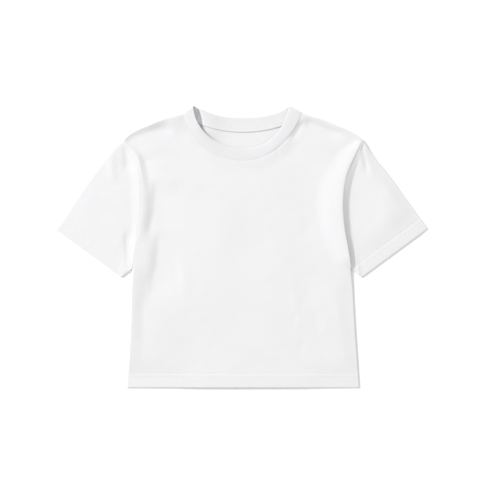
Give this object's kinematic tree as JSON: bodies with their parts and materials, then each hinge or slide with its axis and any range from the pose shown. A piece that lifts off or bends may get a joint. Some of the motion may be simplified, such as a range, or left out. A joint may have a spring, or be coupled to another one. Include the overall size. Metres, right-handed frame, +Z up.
{
  "type": "crop top",
  "caption": "Cropped boxy crew-neck T-shirt in plain white cotton, laid flat on its back with its short sleeves spread.",
  "frame": {"origin": "middle of the underside of the whole garment's bounding box, on the surface it lies on", "axes": "+Z up, out of the front; +Y from the hem towards the neck; +X towards the wearer's left sleeve"},
  "size_m": [0.649, 0.4924, 0.0098],
  "materials": {
    "jersey": "heavy white cotton jersey, matt, fine knit",
    "rib": "white cotton rib knit, folded double, matt",
    "tape": "white cotton neck tape, matt"
  },
  "bodies": {
    "root": {"front_panel": "jersey", "back_panel": "jersey", "sleeve_left": "jersey", "sleeve_right": "jersey", "neckband": "rib", "neck_tape": "tape"}
  },
  "joints": []
}
